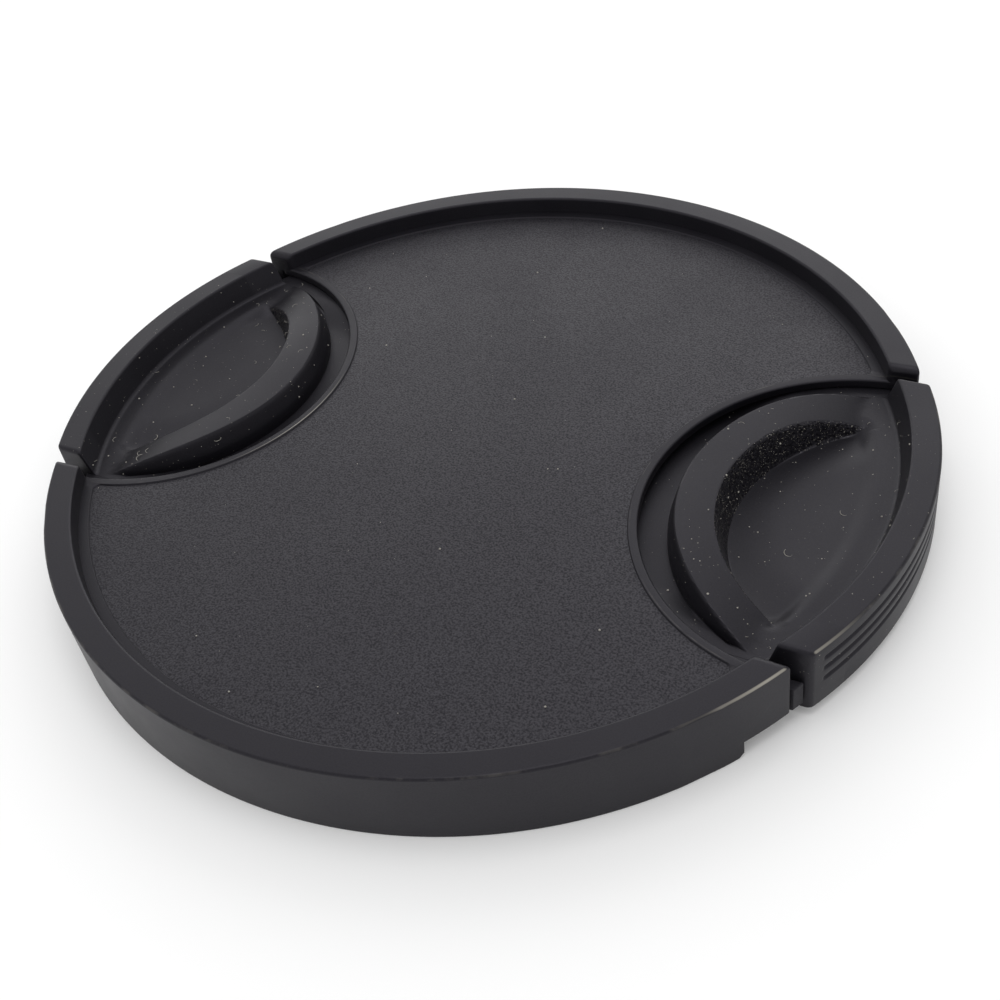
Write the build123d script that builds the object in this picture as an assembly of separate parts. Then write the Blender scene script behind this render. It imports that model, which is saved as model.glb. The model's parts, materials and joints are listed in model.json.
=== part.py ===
"""Pinch-type camera lens cap: front cover, back plate, two sprung latches and their coil springs.

The cap lies face up. The origin is at the centre of its base, +X runs along the latch axis and +Z is up.
"""
import os
from math import hypot, sqrt

from build123d import *

# Lens fit: a 77 mm filter thread, with room for the lens rim inside the cap's skirt
THREAD_RADIUS = 38.5
LENS_RIM = 2.85
WALL = 1.65

# Overall height and rim
CAP_HEIGHT = 7.8
RIM_WIDTH = 2.65
RIM_DRAFT = 0.15
RIM_EDGE = 0.25

# Layers below the rim's top, from the front to the back
BORDER_DEPTH = 1.8
GRAIN_STEP = 0.15
COVER_THICKNESS = 0.85
SLIDE_GAP = 0.15
LATCH_THICKNESS = 1.3
BACK_THICKNESS = 1.1

# Smooth borders round the grained panel
BORDER_WIDTH = 1.0
WINDOW_BORDER = 0.9
PANEL_CORNER = 0.6

# Latch windows: a half round with straight sides that run out through the rim
WINDOW_INSET = 5.0
WINDOW_RADIUS = 19.3
SLOT_WIDTH = 1.4
SLOT_DEPTH = 2.6
END_ROUND = 0.8

# Side wall: deep skirt near and far, short wall beside the latches
SHORT_WALL_LIFT = 1.78
SHORT_WALL_LENGTH = 4.35
LATCH_WALL_LIFT = 1.0

# Latch rim and side grip
LATCH_RADIUS = 38.0
LATCH_STAND_OUT = 1.05
LATCH_DRAFT = 0.8
LATCH_WALL = 1.6
GROOVE_COUNT = 3
GROOVE_PITCH = 1.25
GROOVE_WIDTH = 0.7
GROOVE_DEPTH = 0.35
GROOVE_TOP = 1.5
GROOVE_END = 1.3
TRAVEL = 1.7

# Grip ridge: a bow in plan, under an arched top that falls off towards the latch rim
RIDGE_DEPTH = 0.55
RIDGE_RADIUS = 17.5
RIDGE_WIDTH = 3.7
RIDGE_SLOPE = 0.3
RIDGE_EDGE = 0.4
RIDGE_GAP = 1.02
GRIP_RADIUS = 15.4
GRIP_SLOPE = 0.28
CROWN_RADIUS = 23.5
CROWN_FROM_EDGE = 1.9
FOOT_GROOVE = 0.35
FOOT_GROOVE_DEPTH = 0.4
FOOT_GROOVE_REACH = 17.0

# Finger pocket
POCKET_LEDGE = 1.8
POCKET_STEP = 0.25
POCKET_DISH = 0.7
POCKET_LOW_FROM_RIDGE = 3.2
POCKET_CROSS_RADIUS = 250.0
POCKET_CROSS_ANGLE = 12.0
POCKET_FLOOR = 0.9
POCKET_CORNER = 0.8
POD_HALF_WIDTH = 14.5
POD_WALL = 1.2

# Sliding plate of the latch and its guides
PLATE_END = 11.0
PLATE_OVERLAP = 2.2
EAR_WIDTH = 2.3
EAR_LENGTH = 3.2
SIDE_GAP = 0.2
STOP_GAP = 0.1
EDGE_GAP = 0.45
RIB = 1.2

# Thread hooks, and the ring that enters the filter thread
THREAD_PITCH = 0.75
THREAD_HEIGHT = 0.45
HOOK_THICKNESS = 1.5
HOOK_HALF_WIDTH = 11.5
HOOK_LIFT = 0.4
PLUG_GAP = 0.7
PLUG_WALL = 1.5

# Springs and the web that they push against
SPRING_DIAMETER = 1.8
SPRING_WIRE = 0.3
SPRING_TURNS = 8
SPRING_SPACING = 14.0
SPRING_POCKET = 5.0
SPRING_GAP = 0.1
WIRE_SIDES = 4
CHORDS_PER_TURN = 10
WEB = 2.0

# Back plate fixing
BACK_EDGE_GAP = 0.15
TAB_GAP = 0.12
LATCH_SIDE_GAP = 0.3
NOTCH_GAP = 0.5
STAKE_X = 12.0
STAKE_Y = 30.5
STAKE_RADIUS = 0.8
STAKE_POST = 1.6
STAKE_HEAD = 1.3
STAKE_HEAD_HEIGHT = 0.4
STAKE_GAP = 0.05

# How far cutting shapes run past what they cut, and how near an edge counts as being at a height
OVERRUN = 1.0
NEAR = 0.01

# Heights worked out from the sizes above
RIM_TOP = CAP_HEIGHT
BORDER_TOP = RIM_TOP - BORDER_DEPTH
PANEL_TOP = BORDER_TOP - GRAIN_STEP
COVER_UNDER = BORDER_TOP - COVER_THICKNESS
PLATE_TOP = COVER_UNDER - SLIDE_GAP
PLATE_LOW = PLATE_TOP - LATCH_THICKNESS
BACK_TOP = PLATE_LOW - SLIDE_GAP
BACK_LOW = BACK_TOP - BACK_THICKNESS
RIDGE_TOP = RIM_TOP - RIDGE_DEPTH
POCKET_LOW = PLATE_TOP - POCKET_STEP - POCKET_DISH
POD_LOW = POCKET_LOW - POCKET_FLOOR
SPRING_Z = COVER_UNDER - SPRING_GAP - SPRING_DIAMETER / 2
ABOVE = RIM_TOP + OVERRUN
BELOW = -OVERRUN
ALL_HEIGHTS = (BELOW, ABOVE)

# Plan positions worked out from the sizes above
WALL_INNER = THREAD_RADIUS + LENS_RIM
OUTER_RADIUS = WALL_INNER + WALL
RIM_INNER = OUTER_RADIUS - RIM_WIDTH
WINDOW_CENTRE = OUTER_RADIUS - WINDOW_INSET
WINDOW_START = WINDOW_CENTRE - WINDOW_RADIUS
LATCH_CENTRE = OUTER_RADIUS + LATCH_STAND_OUT - LATCH_RADIUS
LATCH_HALF_WIDTH = WINDOW_RADIUS - SLOT_WIDTH
LATCH_RIM_INNER = LATCH_RADIUS - RIM_WIDTH
LATCH_FOOT = LATCH_RIM_INNER - LATCH_DRAFT
LATCH_WALL_INNER = LATCH_RADIUS - LATCH_WALL
NOTCH_HALF_WIDTH = WINDOW_RADIUS + SHORT_WALL_LENGTH
RIDGE_FOOT = RIDGE_RADIUS + RIDGE_SLOPE * (RIDGE_TOP - PLATE_TOP)
RIDGE_CENTRE = WINDOW_START + TRAVEL + RIDGE_GAP + RIDGE_FOOT
CROWN_MIDDLE = RIDGE_CENTRE - RIDGE_RADIUS + CROWN_FROM_EDGE
GRIP_START = RIDGE_CENTRE - RIDGE_RADIUS + RIDGE_WIDTH
GRIP_CENTRE = GRIP_START + GRIP_RADIUS
POCKET_RADIUS = LATCH_FOOT - POCKET_LEDGE
POCKET_LOW_AT = GRIP_START + POCKET_LOW_FROM_RIDGE
POD_START = GRIP_START - POD_WALL
PLATE_HALF_WIDTH = WINDOW_RADIUS + PLATE_OVERLAP
EAR_HALF_WIDTH = PLATE_HALF_WIDTH + EAR_WIDTH
EAR_END = PLATE_END + EAR_LENGTH
GUIDE_START = EAR_END + STOP_GAP
GUIDE_INNER = PLATE_HALF_WIDTH + SIDE_GAP
GUIDE_OUTER = GUIDE_INNER + RIB
TAB_INNER = LATCH_HALF_WIDTH + LATCH_SIDE_GAP
TAB_OUTER = WINDOW_RADIUS - TAB_GAP
PLUG_RADIUS = THREAD_RADIUS - PLUG_GAP
SPRING_ROOM = SPRING_DIAMETER / 2 + SPRING_GAP
REACH = OUTER_RADIUS + LATCH_STAND_OUT + OVERRUN
SIDES = (1, -1)


def disc(radius, low, high, x=0.0, y=0.0):
    """Upright cylinder between two heights."""
    return Pos(x, y, low) * Cylinder(radius, high - low, align=(Align.CENTER, Align.CENTER, Align.MIN))


def slab(x_range, y_range, z_range):
    """Block between two corners."""
    ranges = (x_range, y_range, z_range)
    corner = [min(pair) for pair in ranges]
    sizes = [max(pair) - min(pair) for pair in ranges]
    return Pos(*corner) * Box(*sizes, align=(Align.MIN, Align.MIN, Align.MIN))


def turned(points, x=0.0):
    """Solid turned about an upright axis at x from a closed outline of (radius, height) points."""
    outline = Plane.XZ * make_face(Polyline(*points, close=True))
    return Pos(x, 0, 0) * revolve(outline, Axis.Z)


def cone(radius_at, low, high, x):
    """Upright cone between two heights; radius_at gives its radius at a height."""
    return turned([(0, low), (radius_at(low), low), (radius_at(high), high), (0, high)], x)


def ridge_radius(height):
    """Radius of the ridge's centre-side face, which slopes outwards to its foot."""
    return RIDGE_RADIUS + RIDGE_SLOPE * (RIDGE_TOP - height)


def grip_radius(height):
    """Radius of the ridge's pocket-side face, which narrows towards the pocket's floor."""
    return GRIP_RADIUS - GRIP_SLOPE * (RIDGE_TOP - height)


def both_ends(solid):
    """The solid with its mirror image at the other end of the latch axis."""
    return solid + mirror(solid, about=Plane.YZ)


def window(margin, low, high):
    """Half-round opening of one latch, grown by a margin, open to the outside."""
    radius = WINDOW_RADIUS + margin
    straight = slab((WINDOW_CENTRE, REACH), (-radius, radius), (low, high))
    return disc(radius, low, high, WINDOW_CENTRE) + straight


def at_rim_top(edges):
    """Those of the edges that lie at the top of the rim."""
    return edges.filter_by_position(Axis.Z, RIM_TOP - NEAR, RIM_TOP + NEAR)


def curved_edges(shape):
    """Edges that are neither straight nor circular, as where two curved faces meet."""
    plain = (GeomType.LINE, GeomType.CIRCLE)
    return [edge for edge in shape.edges() if edge.geom_type not in plain]


def from_axis(point):
    """Distance of a point from the cap's axis."""
    return hypot(point.X, point.Y)


def round_rim(solid):
    """The solid with the ends of its rim rounded over and its long top edges eased."""
    ends = [edge for edge in at_rim_top(solid.edges()) if abs(from_axis(edge @ 0) - from_axis(edge @ 1)) > NEAR]
    solid = fillet(ends, END_ROUND)
    return chamfer(at_rim_top(solid.edges().filter_by(GeomType.CIRCLE)), RIM_EDGE)


def make_cover():
    """Rim, side wall and panel in one moulding, with guides for the latches on its back."""
    border_radius = RIM_INNER - RIM_DRAFT
    cover = turned([
        (0, COVER_UNDER), (WALL_INNER, COVER_UNDER), (WALL_INNER, 0), (OUTER_RADIUS, 0),
        (OUTER_RADIUS, RIM_TOP), (RIM_INNER, RIM_TOP), (border_radius, BORDER_TOP), (0, BORDER_TOP),
    ])
    field = disc(border_radius - BORDER_WIDTH, PANEL_TOP, ABOVE)
    field -= both_ends(window(WINDOW_BORDER, *ALL_HEIGHTS))
    cover -= fillet(field.edges().filter_by(Axis.Z), PANEL_CORNER)
    cover -= both_ends(window(0.0, *ALL_HEIGHTS))
    cover -= slab((-REACH, REACH), (-NOTCH_HALF_WIDTH, NOTCH_HALF_WIDTH), (BELOW, SHORT_WALL_LIFT))
    cover = round_rim(cover)

    span = (BACK_TOP, COVER_UNDER)
    cover += slab((-WEB / 2, WEB / 2), (-EAR_HALF_WIDTH, EAR_HALF_WIDTH), span)
    guide_end = sqrt((WALL_INNER - RIB) ** 2 - GUIDE_OUTER ** 2)
    for side in SIDES:
        cover += both_ends(slab((GUIDE_START, guide_end), (side * GUIDE_INNER, side * GUIDE_OUTER), span))
        cover += both_ends(stake(STAKE_X, side * STAKE_Y))
    return cover


def stake(x, y):
    """Post that spaces the back plate, with a pin through it and a flattened head."""
    post = disc(STAKE_POST, BACK_TOP, COVER_UNDER, x, y)
    pin = disc(STAKE_RADIUS, BACK_LOW, BACK_TOP, x, y)
    head = disc(STAKE_HEAD, BACK_LOW - STAKE_HEAD_HEIGHT, BACK_LOW, x, y)
    return post + pin + head


def make_back():
    """Plate that closes the back, with a ring for the filter thread and four pieces of side wall."""
    back = disc(WALL_INNER - BACK_EDGE_GAP, BACK_LOW, BACK_TOP)
    tabs = disc(OUTER_RADIUS, SHORT_WALL_LIFT, RIM_TOP - SLOT_DEPTH) - disc(WALL_INNER, *ALL_HEIGHTS)
    tabs += disc(OUTER_RADIUS, BACK_LOW, BACK_TOP)
    for side in SIDES:
        back += tabs & slab((-REACH, REACH), (side * TAB_INNER, side * TAB_OUTER), ALL_HEIGHTS)
    back += disc(PLUG_RADIUS, HOOK_LIFT, BACK_LOW) - disc(PLUG_RADIUS - PLUG_WALL, *ALL_HEIGHTS)

    latch_way = slab((0, REACH), (-TAB_INNER, TAB_INNER), ALL_HEIGHTS)
    latch_way -= disc(LATCH_WALL_INNER - EDGE_GAP, *ALL_HEIGHTS, LATCH_CENTRE - TRAVEL)
    notch_half = POD_HALF_WIDTH + NOTCH_GAP
    notch = slab((POD_START - TRAVEL - NOTCH_GAP, REACH), (-notch_half, notch_half), ALL_HEIGHTS)
    back -= both_ends(latch_way + notch)

    for side in SIDES:
        middle = side * SPRING_SPACING
        across = (middle - SPRING_ROOM, middle + SPRING_ROOM)
        trough = slab((WEB / 2, PLATE_END + SPRING_POCKET), across, (SPRING_Z - SPRING_ROOM, ABOVE))
        back -= both_ends(trough)
        back -= both_ends(disc(STAKE_RADIUS + STAKE_GAP, *ALL_HEIGHTS, STAKE_X, side * STAKE_Y))
    return back


def ridge_crown():
    """Long body under the ridge's top, an arch across the latch that falls off towards the rim."""
    arch = Pos(CROWN_MIDDLE, RIDGE_TOP - CROWN_RADIUS) * Circle(CROWN_RADIUS)
    return extrude(Plane.XZ * arch, REACH, both=True)


def make_ridge():
    """Bow-shaped grip ridge between two cones, under an arched top, reaching down to the plate's back."""
    ridge = cone(ridge_radius, *ALL_HEIGHTS, RIDGE_CENTRE) - cone(grip_radius, *ALL_HEIGHTS, GRIP_CENTRE)
    ridge &= ridge_crown() & slab((0, RIDGE_CENTRE), (-REACH, REACH), ALL_HEIGHTS)
    crown_edges = ridge.faces().filter_by(GeomType.CYLINDER).edges()
    ridge = fillet(curved_edges(crown_edges), RIDGE_EDGE)
    return ridge & disc(LATCH_RIM_INNER, PLATE_LOW, ABOVE, LATCH_CENTRE)


def make_pocket():
    """Dished hollow for a fingertip between the grip ridge and the latch rim."""
    run = LATCH_CENTRE + POCKET_RADIUS - POCKET_LOW_AT
    dish_radius = (run ** 2 + POCKET_DISH ** 2) / (2 * POCKET_DISH)
    outline = Pos(POCKET_LOW_AT, POCKET_LOW + dish_radius) * Circle(dish_radius)
    outline &= Pos(POCKET_LOW_AT, RIM_TOP) * Rectangle(2 * REACH, 2 * CAP_HEIGHT)
    cross_axis = Axis((0, 0, POCKET_LOW + POCKET_CROSS_RADIUS), (1, 0, 0))
    dish = revolve(Plane.XZ * outline, cross_axis, POCKET_CROSS_ANGLE)
    dish = dish.rotate(cross_axis, -POCKET_CROSS_ANGLE / 2)
    well = cone(grip_radius, POD_LOW, ABOVE, GRIP_CENTRE)
    well &= disc(POCKET_RADIUS, POD_LOW, ABOVE, LATCH_CENTRE)
    return fillet(curved_edges(well), POCKET_CORNER) & dish


def make_foot_groove():
    """Fine groove along the centre side of the ridge's foot."""
    groove = disc(RIDGE_FOOT + FOOT_GROOVE, PLATE_TOP - FOOT_GROOVE_DEPTH, ABOVE, RIDGE_CENTRE)
    groove -= disc(RIDGE_FOOT, *ALL_HEIGHTS, RIDGE_CENTRE)
    return groove & slab((0, RIDGE_CENTRE), (-FOOT_GROOVE_REACH, FOOT_GROOVE_REACH), ALL_HEIGHTS)


def make_hook():
    """Tongue with thread teeth that grips the filter thread."""
    root = THREAD_RADIUS - THREAD_HEIGHT
    back = THREAD_RADIUS - HOOK_THICKNESS
    outline = [(back, HOOK_LIFT), (root, HOOK_LIFT)]
    for tooth in range(int((POD_LOW - HOOK_LIFT) / THREAD_PITCH)):
        height = HOOK_LIFT + tooth * THREAD_PITCH
        outline += [(THREAD_RADIUS, height + THREAD_PITCH / 2), (root, height + THREAD_PITCH)]
    outline += [(root, PLATE_LOW), (back, PLATE_LOW)]
    return turned(outline) & slab((0, REACH), (-HOOK_HALF_WIDTH, HOOK_HALF_WIDTH), ALL_HEIGHTS)


def make_latch_rim():
    """Arc of rim with its outer wall and side grooves."""
    half = LATCH_HALF_WIDTH
    rim = turned([
        (LATCH_WALL_INNER, LATCH_WALL_LIFT), (LATCH_RADIUS, LATCH_WALL_LIFT), (LATCH_RADIUS, RIM_TOP),
        (LATCH_RIM_INNER, RIM_TOP), (LATCH_FOOT, PLATE_TOP), (LATCH_FOOT, PLATE_LOW),
        (LATCH_WALL_INNER, PLATE_LOW),
    ], LATCH_CENTRE)
    rim = round_rim(rim & slab((LATCH_CENTRE, REACH), (-half, half), ALL_HEIGHTS))
    grooves_half = half - GROOVE_END
    grip = slab((LATCH_CENTRE, REACH), (-grooves_half, grooves_half), ALL_HEIGHTS)
    grip -= disc(LATCH_RADIUS - GROOVE_DEPTH, *ALL_HEIGHTS, LATCH_CENTRE)
    for groove in range(GROOVE_COUNT):
        top = RIM_TOP - GROOVE_TOP - groove * GROOVE_PITCH + GROOVE_WIDTH / 2
        rim -= grip & disc(REACH, top - GROOVE_WIDTH, top)
    return rim


def make_latch():
    """Sliding latch at +X: rim arc, side grip, finger pocket, grip ridge, plate and thread hook."""
    layer = (PLATE_LOW, PLATE_TOP)
    plate = slab((PLATE_END, REACH), (-PLATE_HALF_WIDTH, PLATE_HALF_WIDTH), layer)
    plate &= disc(WALL_INNER - EDGE_GAP, *ALL_HEIGHTS)
    middle = slab((PLATE_END, REACH), (-LATCH_HALF_WIDTH, LATCH_HALF_WIDTH), layer)
    plate += middle & disc(LATCH_FOOT + RIM_EDGE, *ALL_HEIGHTS, LATCH_CENTRE)
    plate += slab((PLATE_END, EAR_END), (-EAR_HALF_WIDTH, EAR_HALF_WIDTH), layer)
    pod = slab((POD_START, REACH), (-POD_HALF_WIDTH, POD_HALF_WIDTH), (POD_LOW, PLATE_LOW))
    pod &= disc(LATCH_WALL_INNER + RIM_EDGE, *ALL_HEIGHTS, LATCH_CENTRE)
    latch = make_latch_rim() + plate + pod + make_ridge() + make_hook()
    latch -= make_pocket() + make_foot_groove()
    for side in SIDES:
        across = (side * SPRING_SPACING - SPRING_ROOM, side * SPRING_SPACING + SPRING_ROOM)
        latch -= slab((PLATE_END - OVERRUN, PLATE_END + SPRING_POCKET), across, ALL_HEIGHTS)
    return latch


def make_spring(side):
    """Coil spring on the +X side, from the cover's web to the end of its pocket in the latch."""
    coil_radius = (SPRING_DIAMETER - SPRING_WIRE) / 2
    length = PLATE_END + SPRING_POCKET - WEB / 2 - 2 * SPRING_GAP - SPRING_WIRE
    start = (WEB / 2 + SPRING_GAP + SPRING_WIRE / 2, side * SPRING_SPACING, SPRING_Z)
    helix = Helix(length / SPRING_TURNS, length, coil_radius, center=start, direction=(1, 0, 0))
    chords = SPRING_TURNS * CHORDS_PER_TURN
    path = Polyline(*[helix @ (chord / chords) for chord in range(chords + 1)])
    section = Plane(path @ 0, z_dir=path % 0) * RegularPolygon(SPRING_WIRE / 2, WIRE_SIDES)
    return sweep(section, path=path, transition=Transition.RIGHT)


os.makedirs("parts", exist_ok=True)
latch_right = make_latch()
parts = {
    "front_cover": make_cover(),
    "back_plate": make_back(),
    "latch_right": latch_right,
    "latch_left": mirror(latch_right, about=Plane.YZ),
}
for name, side in (("near", -1), ("far", 1)):
    spring = make_spring(side)
    parts[f"spring_right_{name}"] = spring
    parts[f"spring_left_{name}"] = mirror(spring, about=Plane.YZ)
for name, solid in parts.items():
    export_step(solid, f"parts/{name}.step")
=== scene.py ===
import json
from collections import namedtuple
from itertools import accumulate, product
from math import asin, cos, hypot, pi, radians, sin, sqrt

import bmesh
import bpy
from bpy.props import FloatProperty, FloatVectorProperty, IntProperty, PointerProperty
from mathutils import Matrix, Vector, geometry


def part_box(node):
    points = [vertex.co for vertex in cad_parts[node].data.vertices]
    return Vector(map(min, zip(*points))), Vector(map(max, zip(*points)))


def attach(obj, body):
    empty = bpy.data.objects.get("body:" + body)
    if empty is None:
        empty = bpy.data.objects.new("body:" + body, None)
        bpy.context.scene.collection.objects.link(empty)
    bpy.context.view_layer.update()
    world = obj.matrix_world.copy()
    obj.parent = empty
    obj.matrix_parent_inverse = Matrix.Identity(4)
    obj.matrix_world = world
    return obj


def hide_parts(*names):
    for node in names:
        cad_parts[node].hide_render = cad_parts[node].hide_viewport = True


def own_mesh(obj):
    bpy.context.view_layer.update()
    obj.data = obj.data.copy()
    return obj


bl_info = {
    "name": "Lens Cap",
    "version": (1, 0, 0),
    "blender": (4, 5, 0),
    "location": "3D View > Sidebar > Lens Cap",
    "description": "Builds a pinch-latch camera lens cap around its CAD frame",
    "category": "Add Mesh",
}

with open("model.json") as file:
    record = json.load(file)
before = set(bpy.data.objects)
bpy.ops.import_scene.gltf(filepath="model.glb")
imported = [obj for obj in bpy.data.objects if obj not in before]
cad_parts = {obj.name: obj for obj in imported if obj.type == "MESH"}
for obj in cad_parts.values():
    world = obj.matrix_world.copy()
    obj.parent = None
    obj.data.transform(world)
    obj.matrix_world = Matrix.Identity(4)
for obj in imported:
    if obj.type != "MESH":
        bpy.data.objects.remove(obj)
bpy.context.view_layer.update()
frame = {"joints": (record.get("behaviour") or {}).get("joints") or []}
MM = 0.001
SIDES = (1, -1)
CORNERS = tuple(product(SIDES, SIDES))


def in_mm(node):
    """Lowest and highest corner of a CAD node, in millimetres."""
    return [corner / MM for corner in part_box(node)]


# Main sizes in millimetres, read from the frame
COVER_HIGH = in_mm("front_cover")[1]
BACK_BOX_LOW, BACK_BOX_HIGH = in_mm("back_plate")
LATCH_LOW, LATCH_HIGH = in_mm("latch_right")
SPRING_LOW, SPRING_HIGH = in_mm("spring_right_far")
TRAVEL = frame["joints"][0]["range_m"][1] / MM
OUTER_RADIUS = COVER_HIGH.y
RIM_TOP = COVER_HIGH.z
LATCH_FRONT = LATCH_HIGH.x
PLATE_END = LATCH_LOW.x
EAR_HALF_WIDTH = LATCH_HIGH.y
TAB_DROP = 0.8
TAB_TOP = BACK_BOX_HIGH.z - TAB_DROP
PLUG_LOW = BACK_BOX_LOW.z

# Cover, in millimetres
WALL = 1.65
RIM_WIDTH = 2.65
RIM_DRAFT = 0.15
FOOT_EDGE = 0.15
END_CORNER = 0.4
BORDER_DEPTH = 1.8
BORDER_WIDTH = 1.0
WINDOW_BORDER = 0.9
WINDOW_EDGE = 0.22
GRAIN_STEP = 0.15
COVER_THICKNESS = 0.85
PANEL_CORNER = 0.6
PANEL_LAP = 0.55
WINDOW_INSET = 5.0
WINDOW_RADIUS = 19.3
SHORT_WALL_LIFT = 1.78
SHORT_WALL_LENGTH = 4.35
STEP_CHAMFER = 0.4
END_RUN = 6.0

# Latches, in millimetres, with slopes and shares as plain numbers
SLOT_WIDTH = 1.4
SLIDE_GAP = 0.15
LATCH_THICKNESS = 1.3
LATCH_RADIUS = 38.0
LATCH_DRAFT = 0.8
LATCH_WALL = 1.6
LATCH_WALL_LIFT = 1.0
LATCH_END_CORNER = 0.28
GROOVE_COUNT = 3
GROOVE_PITCH = 1.25
GROOVE_WIDTH = 0.7
GROOVE_DEPTH = 0.24
GROOVE_TOP = 1.5
GROOVE_END = 1.3
GROOVE_FADE = 0.3
GROOVE_WALL = 0.45
GROOVE_SHARES = (0.0, 0.08, 0.16, 0.24, 0.33, 0.5, 0.67, 0.76, 0.84, 0.92, 1.0)
RIDGE_DEPTH = 0.55
RIDGE_RADIUS = 17.5
RIDGE_WIDTH = 3.7
RIDGE_SLOPE = 0.3
RIDGE_GAP = 1.02
GRIP_RADIUS = 15.4
GRIP_SLOPE = 0.28
FRONT_BLEND = 0.45
GRIP_BLEND = 0.45
FLOOR_BLEND = 0.2
CROWN_RADIUS = 23.5
CROWN_FROM_EDGE = 1.9
FOOT_GROOVE = 0.35
FOOT_GROOVE_DEPTH = 0.4
FOOT_GROOVE_REACH = 17.0
FOOT_GROOVE_FADE = 0.6
CRESCENT_STEP = 0.8
CRESCENT_LEVEL = 12.0
CRESCENT_END = 16.4
EVEN_SHARE = 0.04
FRONT_ROWS_IN = 0.45
GRIP_ROWS_OUT = 0.55
GRIP_ROWS_IN = 0.35
RAMP_ROWS_IN = 1.3
RAMP_ROWS_OUT = 0.2
COARSE_BELOW = 0.3
COARSE_ABOVE = 0.2
POCKET_LEDGE = 1.8
POCKET_DISH = 0.7
POCKET_SINK = 0.25
POCKET_LOW_FROM_RIDGE = 3.2
POCKET_CROSS_RADIUS = 250.0
POCKET_FLOOR = 0.9
POCKET_CORNER = 2.0
POCKET_RAMP = 1.8
POCKET_DIP = 0.5
POCKET_DIP_REACH = 5.0
RIM_FOOT_ROUND = 0.5
POD_HALF_WIDTH = 14.5
POD_WALL = 1.2
PLATE_OVERLAP = 2.2
EAR_LENGTH = 3.2
PLATE_LAP = 0.6
PLATE_ROOT = 1.0
PLATE_CHAMFER = 0.1
PLATE_ROOM = 1.5
EDGE_GAP = 0.45
SIDE_GAP = 0.2
STOP_GAP = 0.1
RIB = 1.2

# Thread hooks, back plate and springs, in millimetres, with shares as plain numbers
THREAD_RADIUS = 38.5
THREAD_PITCH = 0.75
THREAD_HEIGHT = 0.45
HOOK_THICKNESS = 1.5
HOOK_HALF_WIDTH = 11.5
BACK_THICKNESS = 1.1
BACK_EDGE_GAP = 0.15
PLUG_GAP = 0.7
PLUG_WALL = 1.5
PLUG_END_GAP = 0.2
TAB_GAP = 0.12
LATCH_SIDE_GAP = 0.3
NOTCH_GAP = 0.5
WEB = 2.0
SPRING_SPACING = 14.0
SPRING_POCKET = 5.0
SPRING_ROOM = 1.0
SPRING_CLOSING = 0.7
STAKE_X = 12.0
STAKE_Y = 30.5
STAKE_POST = 1.6
STAKE_RADIUS = 0.8
STAKE_HEAD = 1.3
STAKE_HEAD_HEIGHT = 0.4
STAKE_GAP = 0.05
CHAMFER = 0.15
FINE_CHAMFER = 0.05
LAP = 0.02
NEAR = 1e-4

# Wear, the painted highlight along the window border, handling marks and dust, in millimetres, with shares
# as plain numbers
# The pale edge line is wear along the rims and a painted highlight along the window border
WEAR_AND_HIGHLIGHT_WIDTH = 0.08
WEAR_AND_HIGHLIGHT_CORE = 0.165
WEAR_AND_HIGHLIGHT_FAINT = 0.25
WEAR_AND_HIGHLIGHT_PATCH = 2.5
WEAR_AND_HIGHLIGHT_REACH = 9.0
COVER_RUBS = ((37.2, -21.6),)
LATCH_RUBS = ((38.6, -20.0),)
# Place on the left window's border where its painted highlight is brightest
WINDOW_HIGHLIGHT_SPOTS = ((-18.4, -4.6),)
HANDLING_PATCH = 9.0
STEEL_LINES = 0.15
DUST_PATCH = 1.5
DUST_BELOW_RIM = 0.2
FIBRE_RADIUS = 0.6
FIBRE_WIRE = 0.036

# Heights above the table, in millimetres
BORDER_TOP = RIM_TOP - BORDER_DEPTH
PANEL_TOP = BORDER_TOP - GRAIN_STEP
COVER_UNDER = BORDER_TOP - COVER_THICKNESS
PANEL_MIDDLE = (BORDER_TOP + COVER_UNDER) / 2
PLATE_TOP = COVER_UNDER - SLIDE_GAP
PLATE_LOW = PLATE_TOP - LATCH_THICKNESS
BACK_TOP = PLATE_LOW - SLIDE_GAP
BACK_LOW = BACK_TOP - BACK_THICKNESS
RIDGE_TOP = RIM_TOP - RIDGE_DEPTH
POCKET_LOW = PLATE_TOP - POCKET_DISH - POCKET_SINK
POD_LOW = POCKET_LOW - POCKET_FLOOR

# Plan positions, in millimetres
WALL_INNER = OUTER_RADIUS - WALL
RIM_INNER = OUTER_RADIUS - RIM_WIDTH
BORDER_RADIUS = RIM_INNER - RIM_DRAFT
WINDOW_CENTRE = OUTER_RADIUS - WINDOW_INSET
WINDOW_START = WINDOW_CENTRE - WINDOW_RADIUS
LATCH_CENTRE = LATCH_FRONT - LATCH_RADIUS
LATCH_HALF_WIDTH = WINDOW_RADIUS - SLOT_WIDTH
LATCH_RIM_INNER = LATCH_RADIUS - RIM_WIDTH
LATCH_FOOT = LATCH_RIM_INNER - LATCH_DRAFT
LATCH_WALL_INNER = LATCH_RADIUS - LATCH_WALL
RIDGE_FOOT = RIDGE_RADIUS + RIDGE_SLOPE * (RIDGE_TOP - PLATE_TOP)
RIDGE_CENTRE = WINDOW_START + TRAVEL + RIDGE_GAP + RIDGE_FOOT
CROWN_MIDDLE = RIDGE_CENTRE - RIDGE_RADIUS + CROWN_FROM_EDGE
GRIP_START = RIDGE_CENTRE - RIDGE_RADIUS + RIDGE_WIDTH
GRIP_CENTRE = GRIP_START + GRIP_RADIUS
GRIP_FOOT = GRIP_RADIUS - GRIP_SLOPE * (RIDGE_TOP - POCKET_LOW)
POCKET_RADIUS = LATCH_FOOT - POCKET_LEDGE
POCKET_LOW_AT = GRIP_START + POCKET_LOW_FROM_RIDGE
POCKET_RUN = LATCH_CENTRE + POCKET_RADIUS - POCKET_LOW_AT
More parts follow.
